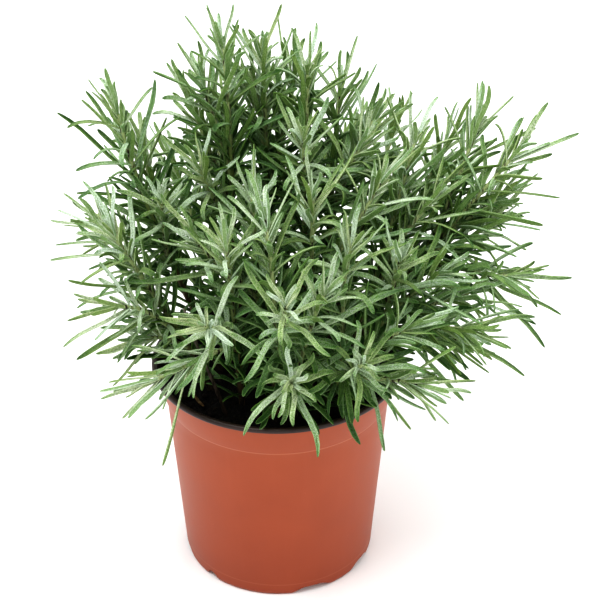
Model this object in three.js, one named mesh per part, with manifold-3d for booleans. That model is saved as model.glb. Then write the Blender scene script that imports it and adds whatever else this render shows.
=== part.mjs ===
// Potted rosemary: a thin plastic nursery pot, its compost and a bushy rosemary plant.
// Millimetres, +Z up. The origin is the middle of the pot's underside, on the ground.
// +X is the right-hand side and -Y the front of the plant.
import * as THREE from "three";
import { mergeVertices } from "three/addons/utils/BufferGeometryUtils.js";
import Module from "manifold-3d";

const wasm = await Module();
wasm.setup();

// ---------------------------------------------------------------- pot
const POT = {
  lipRadius: 59.5,
  lipHeight: 107.7,
  seamRadius: 53.1,
  seamHeight: 90,
  footRadius: 46.6,
  wall: 1.2,
  floor: 1.6,
  sides: 40,
};
const NOTCH_HEIGHT = 3.6;
const NOTCH_REACH = 9; // how far a notch runs in under the floor
const NOTCH_CLEAR = 0.7; // between the compost and the wall over a notch
const SLOPE_SHARE = 0.35; // share of a notch's width taken by each sloped end
// [middle angle, width], degrees round from the front, positive to the right
const NOTCHES = [[21, 30], [60, 24], [105, 30], [150, 30], [-165, 30], [-120, 30], [-76, 30], [-44, 11]];
const DRAIN_RADIUS = 2.6;
const DRAIN_RING = 32;
const DRAINS = 6;

// ---------------------------------------------------------------- compost
const SOIL_TOP = 93.5;
const SOIL_GAP = 0.3;
const SOIL_BUMP = 0.96;
const MOUND_RADIUS = 50;
const MOUND_RISE = 1.2;
const PLANTED_DEPTH = 9; // how far a stem goes down into the compost
const HOLE_GAP = 0.35;

// ---------------------------------------------------------------- plant
const STEM_SIDES = 4;
const MAIN_RADIUS = [1.7, 0.75]; // at the root, at the tip
const SIDE_RADIUS = [1.15, 0.7];
const LEAF_LENGTH = 34;
const LEAF_WIDTH = 2.8;
const LEAF_THICK = 1.15;
const LONG_LEAF = 32; // longer leaves get a second bend
const LEAN = [8, 50]; // degrees away from the stem, at the tip and once grown
const LEAN_SPREAD = 11;
const YOUNG_SIZE = 0.5; // share of the full length at the tip
const SIZE_SPREAD = [0.82, 1.18];
const YOUNG_WIDTH = 0.72;
const CURL = [-0.34, 0.24]; // bend along the stem, as a share of the leaf's length
const SWAY = 0.14; // bend to either side
const DROOP = [0.06, 0.3]; // bend downwards once grown
const YOUNG_ZONE = 20; // leaves nearer the tip than this are still growing
const FIRST_PAIR = 1.5; // distance of the first pair from the tip
const PAIR_TURN = 90; // each pair stands across the one before it
const TURN_SPREAD = 14;
const STEM_TURN = 31; // turns the leaves of one stem against those of the next
const OLD_GAP = 2; // extra spacing beyond OLD_ZONE
const PAIR_STEP = [6, 10.6]; // spacing of the leaf pairs at the tip and in the grown zone
const LEAFY_STRETCH = [1.4, 1.1]; // main shoots and side shoots
const OLD_ZONE = 60; // beyond this the pairs stand further apart
const CLEARANCE = 0.35;
const FINEST_EDGE = 0.02; // slivers left by the joining are cleaned away below this size
const STEM_KEEP = 0.2; // leaves of one branch may cross each other, branches may not
const HEADROOM_RADIUS = POT.lipRadius - 4.5; // inside the collar
const POT_KEEP = 0.8; // leaves stay this far from the pot and the compost
const LEAFY_MOST = 0.86; // no leaves on the lowest part of a stem
const STEM_PULL = [0.38, 0.36]; // handles of a stem's curve, as shares of its span
const LEAF_ROOTED = 0.5; // how far a leaf's base reaches back into its stem

// Each branch: where it is rooted [x, y], then its shoots.
// A shoot: tip [x, y, z], rise of its last stretch in degrees, leafy length,
// and for a side shoot the share of the main stem at which it forks off.
const BRANCHES = [
  {
    root: [-12, 10],
    shoots: [
      [-23, 20, 255, 82, 120], [-38, 30, 222, 66, 60, 0.52], [-33, -4, 208, 70, 50, 0.45],
      [-33, 20, 240, 74, 50, 0.62],
    ],
  },
  {
    root: [2, 15],
    shoots: [
      [-6, 33, 247, 85, 115], [8, 52, 230, 75, 60, 0.55], [-10, 36, 232, 72, 50, 0.6],
    ],
  },
  {
    root: [11, 6],
    shoots: [
      [14, 34, 238, 80, 100], [12, 2, 220, 75, 55, 0.5], [38, 10, 213, 64, 45, 0.5],
    ],
  },
  { root: [19, 14], shoots: [[29, 40, 228, 75, 90], [44, 26, 218, 66, 55, 0.55]] },
  {
    root: [-25, 6],
    shoots: [
      [-69, 7, 230, 80, 100], [-61, 24, 206, 66, 50, 0.5], [-50, -12, 196, 60, 50, 0.5],
    ],
  },
  {
    root: [-29, -7],
    shoots: [
      [-70, -26, 188, 66, 90], [-78, 2, 176, 44, 50, 0.5], [-69, -38, 158, 18, 50, 0.4],
      [-60, -24, 132, -4, 42, 0.32],
    ],
  },
  {
    root: [-16, -17],
    shoots: [
      [-20, -50, 196, 72, 75], [-29, -72, 170, 44, 42, 0.5], [-52, -50, 128, -6, 42, 0.42],
    ],
  },
  { root: [-2, -22], shoots: [[5, -80, 184, 58, 70], [-4, -42, 204, 78, 45, 0.5]] },
  { root: [8, -27], shoots: [[7, -83, 149, 34, 64], [21, -66, 182, 62, 45, 0.5]] },
  {
    root: [22, -20],
    shoots: [
      [37, -78, 155, 42, 60], [32, -50, 194, 66, 50, 0.5], [62, -60, 132, 0, 46, 0.45],
      [58, -54, 158, 32, 42, 0.55],
    ],
  },
  { root: [15, -6], shoots: [[16, -28, 206, 76, 70], [46, -10, 206, 66, 55, 0.5]] },
  {
    root: [27, 3],
    shoots: [
      [70, -2, 192, 52, 80], [62, 16, 212, 70, 55, 0.5], [77, 32, 202, 60, 50, 0.5],
      [98, 2, 178, 38, 50, 0.55],
    ],
  },
  {
    root: [32, -9],
    shoots: [
      [72, -32, 172, 42, 70], [53, -42, 184, 60, 45, 0.5], [86, -40, 148, 16, 45, 0.5],
      [82, -24, 132, 0, 40, 0.45], [92, -12, 152, 20, 42, 0.55],
    ],
  },
  {
    root: [31, 14],
    shoots: [
      [106, 2, 214, 58, 80], [91, 26, 214, 64, 55, 0.55], [106, -14, 160, 22, 50, 0.5],
      [101, 8, 188, 42, 45, 0.62],
    ],
  },
  { root: [-5, 0], shoots: [[-10, -20, 204, 80, 65], [-34, -32, 188, 62, 45, 0.5]] },
  {
    root: [-20, 24],
    shoots: [
      [-50, 60, 180, 62, 70], [-26, 74, 200, 70, 50, 0.5], [-84, 40, 156, 25, 50, 0.45],
    ],
  },
  {
    root: [4, 30],
    shoots: [
      [2, 82, 202, 60, 80], [34, 88, 178, 45, 50, 0.5], [-22, 92, 160, 30, 45, 0.5],
    ],
  },
  {
    root: [23, 28],
    shoots: [
      [56, 66, 196, 66, 80], [84, 58, 174, 40, 50, 0.5], [60, 86, 152, 22, 45, 0.45],
    ],
  },
];
const TWIG = {
  root: [-22, -27],
  tip: [-40, -36, 156],
  radius: [1, 0.5],
  lowBend: [2, 1, 0],
  highBend: [-2, 0, 0],
};
// Loose things lying on the compost: [x, y, size or direction]
const PERLITE = [[34, -37, 1.7], [40, -28, 1.3], [-12, -43, 1.2], [4, 44, 1.6]];
const PERLITE_LIFT = 1.5;
const DRY_LEAVES = [[-8, -36, 35], [-34, -24, 120], [16, 40, 200]];
const DRY_LENGTH = 15;
const DRY_WIDTH = 2.2;
const DRY_ARCH = 1.2;
const DRY_LIFT = 2.6; // keeps them clear of the compost's lumps

const MATERIALS = {
  pot: new THREE.MeshStandardMaterial({ color: 0xb85a3a, roughness: 0.5, metalness: 0 }),
  soil: new THREE.MeshStandardMaterial({ color: 0x1c1714, roughness: 0.95, metalness: 0 }),
  perlite: new THREE.MeshStandardMaterial({ color: 0xe9e6df, roughness: 0.9, metalness: 0 }),
  plant: new THREE.MeshStandardMaterial({ color: 0x5f8f50, roughness: 0.7, metalness: 0 }),
  dry: new THREE.MeshStandardMaterial({ color: 0x6b5a47, roughness: 0.9, metalness: 0 }),
};

const UP = new THREE.Vector3(0, 0, 1);
const radians = THREE.MathUtils.degToRad;
const clamp = (value, low = 0, high = 1) => Math.min(high, Math.max(low, value));
const mix = (a, b, t) => a + (b - a) * t;
const group = new THREE.Group();
group.name = "potted_rosemary";

// A repeatable spread of numbers from 0 to 1, so the plant is the same every time.
function scatter(i, j) {
  const wave = Math.sin(i * 12.9898 + j * 78.233) * 43758.5453;
  return wave - Math.floor(wave);
}

function solid(geometry) {
  const bare = geometry.index ? geometry.toNonIndexed() : geometry.clone();
  bare.deleteAttribute("normal");
  bare.deleteAttribute("uv");
  const welded = mergeVertices(bare, 1e-4);
  const vertProperties = new Float32Array(welded.attributes.position.array);
  const triVerts = new Uint32Array(welded.index.array);
  const made = new wasm.Manifold(new wasm.Mesh({ numProp: 3, vertProperties, triVerts }));
  if (made.volume() > 0) return made;
  // Its faces point inwards, so turn every triangle round.
  triVerts.reverse();
  return new wasm.Manifold(new wasm.Mesh({ numProp: 3, vertProperties, triVerts }));
}

function addPiece(name, body, material) {
  const mesh = body.getMesh();
  const geometry = new THREE.BufferGeometry();
  geometry.setAttribute("position", new THREE.BufferAttribute(new Float32Array(mesh.vertProperties), 3));
  geometry.setIndex(Array.from(mesh.triVerts));
  geometry.computeVertexNormals();
  const piece = new THREE.Mesh(geometry, material);
  piece.name = name;
  group.add(piece);
}

// A closed skin over rings of points, one ring after another, ending in a point at each end.
function skinOver(start, rings, end) {
  const points = [start, ...rings.flat(), end];
  const around = rings[0].length;
  const faces = [];
  for (let i = 0; i < around; i += 1) {
    const next = (i + 1) % around;
    faces.push(0, 1 + next, 1 + i);
    for (let ring = 0; ring + 1 < rings.length; ring += 1) {
      const low = 1 + ring * around;
      const high = low + around;
      faces.push(low + i, low + next, high + next, low + i, high + next, high + i);
    }
    const last = 1 + (rings.length - 1) * around;
    faces.push(last + i, last + next, points.length - 1);
  }
  const geometry = new THREE.BufferGeometry().setFromPoints(points);
  geometry.setIndex(faces);
  return solid(geometry);
}

function turned(profile, sides) {
  const geometry = new THREE.LatheGeometry(profile.map(([r, z]) => new THREE.Vector2(r, z)), sides);
  geometry.rotateX(Math.PI / 2);
  return solid(geometry);
}

// ---------------------------------------------------------------- the pot
function outerProfile() {
  const { lipRadius, lipHeight, seamRadius, seamHeight, footRadius } = POT;
  return [
    [0, 0], [footRadius - 1.6, 0], [footRadius - 0.3, 1], [footRadius + 0.1, 3],
    [seamRadius - 0.1, seamHeight - 0.6], [seamRadius + 0.5, seamHeight + 0.4],
    [lipRadius - 2.7, lipHeight - 5.2], [lipRadius - 1.6, lipHeight - 3],
    [lipRadius - 0.3, lipHeight - 2.6], [lipRadius, lipHeight - 1.8], [lipRadius - 0.5, lipHeight - 0.4],
    [lipRadius - 1.2, lipHeight], [lipRadius - 2, lipHeight - 0.1], [0, lipHeight - 0.1],
  ];
}

function innerProfile(gap, top) {
  const { lipRadius, lipHeight, seamRadius, seamHeight, footRadius, wall, floor } = POT;
  const inset = wall + gap;
  return [
    [0, floor + gap], [footRadius - 1.8 - inset, floor + gap], [footRadius - inset, floor + gap + 2],
    [seamRadius - inset, seamHeight], [lipRadius - 2.9 - inset, lipHeight - 5.2],
    [lipRadius - 1.9 - inset, top], [0, top],
  ];
}

// The compost fills the pot but steps in at the bottom, clear of the notches.
function compostProfile() {
  const bottom = POT.floor + SOIL_GAP;
  const inset = POT.wall + SOIL_GAP;
  const overNotch = NOTCH_HEIGHT + inset + NOTCH_CLEAR;
  const insideNotch = POT.footRadius - NOTCH_REACH - inset - NOTCH_CLEAR;
  return [
    [0, bottom], [insideNotch, bottom], [insideNotch, overNotch],
    [POT.footRadius - inset, overNotch], [POT.seamRadius - inset - 0.1, POT.seamHeight],
    [POT.seamRadius - inset + 1.6, SOIL_TOP + 6], [0, SOIL_TOP + 6],
  ];
}

// One wedge under the foot with sloped ends; `grow` thickens it for the wall above it.
function notch([middle, width], grow) {
  const half = radians(width / 2);
  const slope = half * 2 * SLOPE_SHARE;
  const height = NOTCH_HEIGHT + grow;
  const spread = grow / POT.footRadius;
  const steps = [-half - spread, -half + slope - spread * 0.4, half - slope + spread * 0.4, half + spread];
  const heights = [0.05 + grow * 0.9, height, height, 0.05 + grow * 0.9];
  const inner = POT.footRadius - NOTCH_REACH - grow;
  const outer = POT.footRadius + 6;
  const rings = steps.map((step, i) => {
    const angle = radians(middle) + step;
    const along = new THREE.Vector3(Math.sin(angle), -Math.cos(angle), 0);
    const at = (radius, z) => along.clone().multiplyScalar(radius).setZ(z);
    return [at(inner, -1), at(outer, -1), at(outer, heights[i]), at(inner, heights[i] * 0.8)];
  });
  const centre = (ring) => ring.reduce((sum, p) => sum.add(p), new THREE.Vector3()).divideScalar(4);
  return skinOver(centre(rings[0]), rings, centre(rings[3]));
}

function drain(index) {
  const angle = (index / DRAINS) * Math.PI * 2;
  const hole = new THREE.CylinderGeometry(DRAIN_RADIUS, DRAIN_RADIUS, 8, 12);
  hole.rotateX(Math.PI / 2);
  hole.translate(DRAIN_RING * Math.cos(angle), DRAIN_RING * Math.sin(angle), 0);
  return solid(hole);
}

let cavity = turned(innerProfile(0, POT.lipHeight + 1), POT.sides);
let pot = turned(outerProfile(), POT.sides);
let compost = turned(compostProfile(), POT.sides);
for (const each of NOTCHES) {
  cavity = cavity.subtract(notch(each, POT.wall));
  pot = pot.subtract(notch(each, 0));
}
pot = pot.subtract(cavity);
for (let i = 0; i < DRAINS; i += 1) pot = pot.subtract(drain(i));
addPiece("pot", pot, MATERIALS.pot);

// ---------------------------------------------------------------- stems
// Height of the compost at a place: a low mound with lumps.
function soilHeight(x, y) {
  const reach = Math.hypot(x, y) / MOUND_RADIUS;
  const large = Math.sin(x * 0.23 + 1.1) * Math.cos(y * 0.27 - 0.6);
  const small = Math.sin(x * 0.51 - y * 0.43) / 2;
  return SOIL_TOP + MOUND_RISE * (1 - reach * reach) + SOIL_BUMP * (large + small);
}

function stemCurve(shoot, start, startHeading, isMain, bow) {
  const [x, y, z, rise] = shoot;
  const tip = new THREE.Vector3(x, y, z);
  const span = tip.distanceTo(start);
  const out = new THREE.Vector3(x - start.x, y - start.y, 0);
  if (out.length() < 1) out.set(0, -1, 0);
  out.normalize();
  const side = new THREE.Vector3(-out.y, out.x, 0);
  const last = out.clone().multiplyScalar(Math.cos(radians(rise)));
  last.addScaledVector(UP, Math.sin(radians(rise)));
  const first = isMain ? out.clone().multiplyScalar(0.3).addScaledVector(UP, 1).normalize() : startHeading;
  const lower = start.clone().addScaledVector(first, span * STEM_PULL[0]).addScaledVector(side, bow);
  const upper = tip.clone().addScaledVector(last, -span * STEM_PULL[1]).addScaledVector(side, bow);
  return new THREE.CubicBezierCurve3(start, lower, upper, tip);
}

// Straight runs already taken by earlier branches: {a, b, radius, middle, half}
const taken = [];

function run(a, b, radius) {
  return { a, b, radius, middle: a.clone().add(b).multiplyScalar(0.5), half: a.distanceTo(b) / 2 };
}

function gapBetween(one, two) {
  const d1 = one.b.clone().sub(one.a);
  const d2 = two.b.clone().sub(two.a);
  const r = one.a.clone().sub(two.a);
  const a = d1.dot(d1);
  const e = d2.dot(d2);
  const b = d1.dot(d2);
  const c = d1.dot(r);
  const f = d2.dot(r);
  const spread = a * e - b * b;
  let s = spread > 1e-6 ? clamp((b * f - c * e) / spread) : 0;
  let t = (b * s + f) / e;
  if (t < 0) {
    t = 0;
    s = clamp(-c / a);
  } else if (t > 1) {
    t = 1;
    s = clamp((b - c) / a);
  }
  const p = one.a.clone().addScaledVector(d1, s);
  return p.distanceTo(two.a.clone().addScaledVector(d2, t));
}

// Least spare room between some runs and everything already standing.
function spareRoom(runs) {
  let spare = 50;
  for (const mine of runs) {
    for (const other of taken) {
      const reach = mine.radius + other.radius + CLEARANCE;
      const coarse = mine.middle.distanceTo(other.middle) - mine.half - other.half - reach;
      if (coarse < spare) spare = Math.min(spare, gapBetween(mine, other) - reach);
    }
  }
  return spare;
}

function clearOfPot(runs) {
  return runs.every(({ a, b, radius }) => [0, 0.25, 0.5, 0.75, 1].every((t) => {
    const p = a.clone().lerp(b, t);
    const reach = Math.hypot(p.x, p.y);
    const room = radius + POT_KEEP;
    const above = p.z > POT.lipHeight + room;
    const outside = reach > POT.lipRadius + room;
    const inHeadroom = reach < HEADROOM_RADIUS - room && p.z > soilHeight(p.x, p.y) + room;
    return above || outside || inHeadroom;
  }));
}

const STEM_RUNS = 10;
function stemRuns(curve, radii) {
  const points = curve.getPoints(STEM_RUNS);
  return points.slice(1).map((p, i) => run(points[i], p, mix(radii[0], radii[1], i / STEM_RUNS)));
}

// Lays out every stem first, bowing a stem sideways when another one is in its way.
const BOWS = [0, 5, -5, 10, -10, 15, -15, 20, -20];
const stems = [];
BRANCHES.forEach(({ root, shoots }, branch) => {
  const own = [];
  let main = null;
  shoots.forEach((shoot, index) => {
    const isMain = index === 0;
    const radii = isMain ? MAIN_RADIUS : SIDE_RADIUS;
    let start = new THREE.Vector3(root[0], root[1], soilHeight(...root) - PLANTED_DEPTH);
    let heading = null;
    if (!isMain) {
      start = main.getPoint(shoot[5]);
      heading = main.getTangent(shoot[5]);
      const toward = new THREE.Vector3(shoot[0], shoot[1], shoot[2]).sub(start).normalize();
      heading = heading.multiplyScalar(0.35).add(toward).normalize();
    }
    let best = null;
    for (const bow of BOWS) {
      const curve = stemCurve(shoot, start, heading, isMain, bow);
      const runs = stemRuns(curve, radii);
      const spare = spareRoom(runs);
      if (!best || spare > best.spare + 0.01) best = { curve, runs, spare };
      if (spare > STEM_KEEP) break;
    }
    if (isMain) main = best.curve;
    own.push(...best.runs);
    stems.push({ branch, index, shoot, radii, curve: best.curve, runs: best.runs, spare: best.spare });
  });
  taken.push(...own.map((each) => ({ ...each, branch })));
});

// The dry twig stands before the leaves are laid out, so they keep clear of it too.
const twigStart = new THREE.Vector3(...TWIG.root, soilHeight(...TWIG.root) - PLANTED_DEPTH);
const twigTip = new THREE.Vector3(...TWIG.tip);
const twigCurve = new THREE.CubicBezierCurve3(
  twigStart,
  twigStart.clone().lerp(twigTip, 0.35).add(new THREE.Vector3(...TWIG.lowBend)),
  twigStart.clone().lerp(twigTip, 0.7).add(new THREE.Vector3(...TWIG.highBend)),
  twigTip,
);
const twigRuns = stemRuns(twigCurve, TWIG.radius);
taken.push(...twigRuns.map((each) => ({ ...each, branch: -1 })));

function frameAt(curve, t) {
  const along = curve.getTangent(t);
  const reference = Math.abs(along.z) > 0.96 ? new THREE.Vector3(1, 0, 0) : UP;
  const across = reference.clone().cross(along).normalize();
  return { along, across, over: along.clone().cross(across) };
}

function ringAt(centre, across, over, radius, sides) {
  return Array.from({ length: sides }, (_, i) => {
    const angle = (i / sides) * Math.PI * 2;
    return centre.clone()
      .addScaledVector(across, radius * Math.cos(angle))
      .addScaledVector(over, radius * Math.sin(angle));
  });
}

function tube(curve, radii, steps, sides) {
  const rings = [];
  let { across } = frameAt(curve, 0);
  for (let i = 0; i <= steps; i += 1) {
    const along = curve.getTangent(i / steps);
    across = across.addScaledVector(along, -across.dot(along)).normalize();
    const over = along.clone().cross(across);
    const radius = mix(radii[0], radii[1], i / steps);
    rings.push(ringAt(curve.getPoint(i / steps), across.clone(), over, radius, sides));
  }
  return skinOver(curve.getPoint(0), rings, curve.getPoint(1));
}

// ---------------------------------------------------------------- leaves
// A leaf's middle line: out from the stem at an angle, then curving.
function leafPlan(curve, length, fromTip, turn, seedA, seedB, tweak) {
  const t = clamp(1 - fromTip / length, 0, 1);
  const { along, across, over } = frameAt(curve, t);
  const grown = clamp(fromTip / YOUNG_ZONE);
  const chance = mix(-LEAN_SPREAD, LEAN_SPREAD, scatter(seedA, seedB + 1));
  const lean = radians(mix(...LEAN, Math.sqrt(grown)) + chance + tweak.lean);
  const outward = across.clone().multiplyScalar(Math.cos(turn)).addScaledVector(over, Math.sin(turn));
  const heading = along.clone().multiplyScalar(Math.cos(lean)).addScaledVector(outward, Math.sin(lean));
  const vigour = mix(...SIZE_SPREAD, scatter(seedA, seedB + 2)) * tweak.size;
  const reach = LEAF_LENGTH * mix(YOUNG_SIZE, 1, Math.sqrt(grown)) * vigour;
  const start = curve.getPoint(t);
  const sideways = along.clone().cross(heading).normalize();
  const bend = along.clone().multiplyScalar(mix(...CURL, scatter(seedA, seedB + 3)))
    .addScaledVector(sideways, mix(-SWAY, SWAY, scatter(seedA + 1, seedB + 3)))
    .addScaledVector(UP, -mix(...DROOP, scatter(seedA + 2, seedB + 3)) * grown);
  const at = (share) => start.clone()
    .addScaledVector(heading, reach * share)
    .addScaledVector(bend, reach * share * share);
  return { start, at, along, heading, width: LEAF_WIDTH * mix(YOUNG_WIDTH, 1, grown), reach };
}

function leafRuns(plan) {
  const radius = plan.width / 2;
  const points = [0.12, 0.4, 0.72, 1].map(plan.at);
  return [
    run(points[0], points[1], radius * 0.9),
    run(points[1], points[2], radius),
    run(points[2], points[3], radius * 0.75),
  ];
}

// Flat-topped blade with a keel beneath, drawn to a point at both ends.
function leafBody(plan) {
  const sideways = plan.along.clone().cross(plan.heading).normalize();
  const stations = plan.reach > LONG_LEAF ? [[0.3, 0.92], [0.76, 0.86]] : [[0.45, 1]];
  const rings = stations.map(([share, fullness]) => {
    const centre = plan.at(share);
    const ahead = plan.at(share + 0.05).sub(centre).normalize();
    const above = sideways.clone().cross(ahead).multiplyScalar(-1);
    const half = (plan.width / 2) * fullness;
    return [
      centre.clone().addScaledVector(sideways, half).addScaledVector(above, LEAF_THICK * 0.3),
      centre.clone().addScaledVector(sideways, -half).addScaledVector(above, LEAF_THICK * 0.3),
      centre.clone().addScaledVector(above, -LEAF_THICK * 0.7),
    ];
  });
  return skinOver(plan.start.clone().addScaledVector(plan.heading, -LEAF_ROOTED), rings, plan.at(1));
}

// Small changes tried in turn until a leaf stands clear of the other branches.
const TWEAKS = [
  { turn: 0, lean: 0, size: 1 }, { turn: 16, lean: 0, size: 1 }, { turn: -16, lean: 0, size: 1 },
  { turn: 0, lean: -16, size: 1 }, { turn: 0, lean: 14, size: 0.95 }, { turn: 26, lean: -8, size: 0.85 },
  { turn: -26, lean: 8, size: 0.85 }, { turn: 8, lean: 0, size: 0.7 }, { turn: -12, lean: -18, size: 0.62 },
];

const bodies = BRANCHES.map(() => []);
stems.forEach((stem, stemIndex) => {
  const length = stem.curve.getLength();
  const leafy = Math.min(stem.shoot[4] * LEAFY_STRETCH[stem.index === 0 ? 0 : 1], length * LEAFY_MOST);
  const others = taken.filter((each) => each.branch !== stem.branch);
  let fromTip = FIRST_PAIR;
  for (let pair = 0; fromTip < leafy; pair += 1) {
    for (const face of [0, 1]) {
      const seedA = stemIndex * 3 + face;
      const seedB = pair * 5;
      const chance = mix(-TURN_SPREAD, TURN_SPREAD, scatter(seedA, seedB));
      const base = pair * PAIR_TURN + face * 180 + chance + stemIndex * STEM_TURN;
      const found = TWEAKS.map((tweak) => ({ tweak })).find((each) => {
        const turn = radians(base + each.tweak.turn);
        each.plan = leafPlan(stem.curve, length, fromTip, turn, seedA, seedB, each.tweak);
        each.runs = leafRuns(each.plan);
        if (!clearOfPot(each.runs)) return false;
        return each.runs.every((mine) => others.every((other) => {
          const reach = mine.radius + other.radius + CLEARANCE;
          return mine.middle.distanceTo(other.middle) > mine.half + other.half + reach
            || gapBetween(mine, other) > reach;
        }));
      });
      if (found) {
        bodies[stem.branch].push(leafBody(found.plan));
        taken.push(...found.runs.map((each) => ({ ...each, branch: stem.branch })));
        others.length = 0;
        others.push(...taken.filter((each) => each.branch !== stem.branch));
      }
    }
    fromTip += mix(...PAIR_STEP, clamp(fromTip / YOUNG_ZONE)) + (fromTip > OLD_ZONE ? OLD_GAP : 0);
  }
});

stems.forEach((stem) => {
  bodies[stem.branch].push(tube(stem.curve, stem.radii, stem.index === 0 ? 7 : 4, STEM_SIDES));
});
BRANCHES.forEach((_, branch) => {
  const name = `branch_${String(branch + 1).padStart(2, "0")}`;
  addPiece(name, wasm.Manifold.union(bodies[branch]).simplify(FINEST_EDGE), MATERIALS.plant);
});

addPiece("dead_twig", tube(twigCurve, TWIG.radius, 6, STEM_SIDES), MATERIALS.dry);

// ---------------------------------------------------------------- compost, cut for the stems
const LID_HEIGHT = SOIL_TOP + 12; // well above the compost, to cut everything away
function lumpyTop() {
  const rings = 4;
  const sides = 22;
  const profile = Array.from({ length: rings + 1 }, (_, i) => (i / rings) * (POT.seamRadius + 4));
  const geometry = new THREE.BufferGeometry();
  const points = [];
  const faces = [];
  const put = (x, y, z) => points.push(x, y, z) / 3 - 1;
  const centre = put(0, 0, soilHeight(0, 0));
  const crown = put(0, 0, LID_HEIGHT);
  const surface = profile.slice(1).map((radius) => Array.from({ length: sides }, (_, i) => {
    const angle = (i / sides) * Math.PI * 2;
    const x = radius * Math.cos(angle);
    const y = radius * Math.sin(angle);
    return put(x, y, soilHeight(x, y));
  }));
  const edge = surface[rings - 1];
  const lid = edge.map((corner) => put(points[corner * 3], points[corner * 3 + 1], LID_HEIGHT));
  for (let i = 0; i < sides; i += 1) {
    const next = (i + 1) % sides;
    faces.push(centre, surface[0][next], surface[0][i]);
    for (let ring = 0; ring + 1 < rings; ring += 1) {
      const [low, high] = [surface[ring], surface[ring + 1]];
      faces.push(low[i], low[next], high[next], low[i], high[next], high[i]);
    }
    faces.push(edge[i], edge[next], lid[next], edge[i], lid[next], lid[i], crown, lid[i], lid[next]);
  }
  geometry.setAttribute("position", new THREE.Float32BufferAttribute(points, 3));
  geometry.setIndex(faces);
  return solid(geometry);
}

compost = compost.subtract(lumpyTop());
const holes = stems.filter((stem) => stem.index === 0)
  .map((stem) => ({ curve: stem.curve, radius: stem.radii[0] + HOLE_GAP }));
holes.push({ curve: twigCurve, radius: TWIG.radius[0] + HOLE_GAP });
for (const { curve, radius } of holes) {
  const start = curve.getPoint(0);
  const heading = curve.getTangent(0);
  const line = new THREE.CubicBezierCurve3(
    start.clone().addScaledVector(heading, -HOLE_GAP),
    curve.getPoint(0.04), curve.getPoint(0.08), curve.getPoint(0.13),
  );
  compost = compost.subtract(tube(line, [radius * 1.25, radius * 1.25], 2, 5));
}
addPiece("soil", compost, MATERIALS.soil);

// ---------------------------------------------------------------- loose grains and dry leaves
PERLITE.forEach(([x, y, size], i) => {
  const grain = new THREE.IcosahedronGeometry(size, 0);
  grain.scale(1, mix(0.7, 1, scatter(i, 3)), 0.7);
  grain.rotateZ(i * 1.3);
  grain.translate(x, y, soilHeight(x, y) + size * 0.7 + PERLITE_LIFT);
  addPiece(`perlite_${i + 1}`, solid(grain), MATERIALS.perlite);
});

DRY_LEAVES.forEach(([x, y, turn], i) => {
  const start = new THREE.Vector3(x, y, soilHeight(x, y) + DRY_LIFT);
  const heading = new THREE.Vector3(Math.cos(radians(turn)), Math.sin(radians(turn)), 0);
  const at = (share) => start.clone()
    .addScaledVector(heading, DRY_LENGTH * share)
    .addScaledVector(UP, DRY_ARCH * share * (1 - share));
  const plan = { start, at, along: UP, heading, width: DRY_WIDTH, reach: DRY_LENGTH };
  addPiece(`dry_leaf_${i + 1}`, leafBody(plan), MATERIALS.dry);
});

export default group;
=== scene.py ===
# %% [markdown]
# # A potted rosemary plant
#
# We build a bushy rosemary in a thin plastic nursery pot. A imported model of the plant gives
# the sizes and places: one solid for the pot, one for the compost and one for each rooted
# branch. Those solids are plain, so here each one gets its real surface: rolled needle
# leaves, bark, crumbs of compost and moulded plastic.

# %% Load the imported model
import math

import bmesh
import bpy
import numpy as np
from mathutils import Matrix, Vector


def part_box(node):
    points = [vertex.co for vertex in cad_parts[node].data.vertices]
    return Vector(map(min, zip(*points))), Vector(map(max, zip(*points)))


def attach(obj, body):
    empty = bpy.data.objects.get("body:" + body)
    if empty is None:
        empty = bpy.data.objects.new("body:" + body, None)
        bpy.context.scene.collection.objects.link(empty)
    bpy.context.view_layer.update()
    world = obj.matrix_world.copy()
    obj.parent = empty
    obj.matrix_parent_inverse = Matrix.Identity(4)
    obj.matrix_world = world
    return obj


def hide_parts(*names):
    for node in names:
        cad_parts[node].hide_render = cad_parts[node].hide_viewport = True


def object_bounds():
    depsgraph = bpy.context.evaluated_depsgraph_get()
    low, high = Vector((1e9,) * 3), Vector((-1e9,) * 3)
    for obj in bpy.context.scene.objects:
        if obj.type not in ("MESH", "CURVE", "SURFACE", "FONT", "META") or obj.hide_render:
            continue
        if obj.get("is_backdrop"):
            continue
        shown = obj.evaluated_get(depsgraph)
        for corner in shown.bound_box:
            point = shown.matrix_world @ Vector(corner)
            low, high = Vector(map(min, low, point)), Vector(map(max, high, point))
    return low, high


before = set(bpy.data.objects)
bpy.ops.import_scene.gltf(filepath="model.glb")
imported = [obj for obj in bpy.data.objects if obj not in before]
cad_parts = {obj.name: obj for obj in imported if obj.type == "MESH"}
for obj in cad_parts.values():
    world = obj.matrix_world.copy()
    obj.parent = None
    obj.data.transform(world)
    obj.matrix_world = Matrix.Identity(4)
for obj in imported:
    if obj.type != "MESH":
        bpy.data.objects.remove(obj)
packed_size = [list(corner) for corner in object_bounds()]
print("packed model, metres:", packed_size)

# %% [markdown]
# ## Camera, floor and light
#
# The camera comes first, so that every later render can be compared from the same place. It
# stands half a metre above the table and looks down at about 31 degrees through a long lens,
# which keeps the pot's sides nearly parallel. We could aim it with a Track To constraint, but
# a plain rotation is simpler to read and nothing can move it by accident.

# %% Camera
LOOK_DOWN = 31.17
view = bpy.data.cameras.new("camera")
view.lens = 91.0
camera = bpy.data.objects.new("camera", view)
camera.location = (0.0106, -0.600, 0.5015)
camera.rotation_euler = (math.radians(90 - LOOK_DOWN), 0, 0)
bpy.context.scene.collection.objects.link(camera)
bpy.context.scene.camera = camera
print("camera looks down", LOOK_DOWN, "degrees from", tuple(camera.location))

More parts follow.
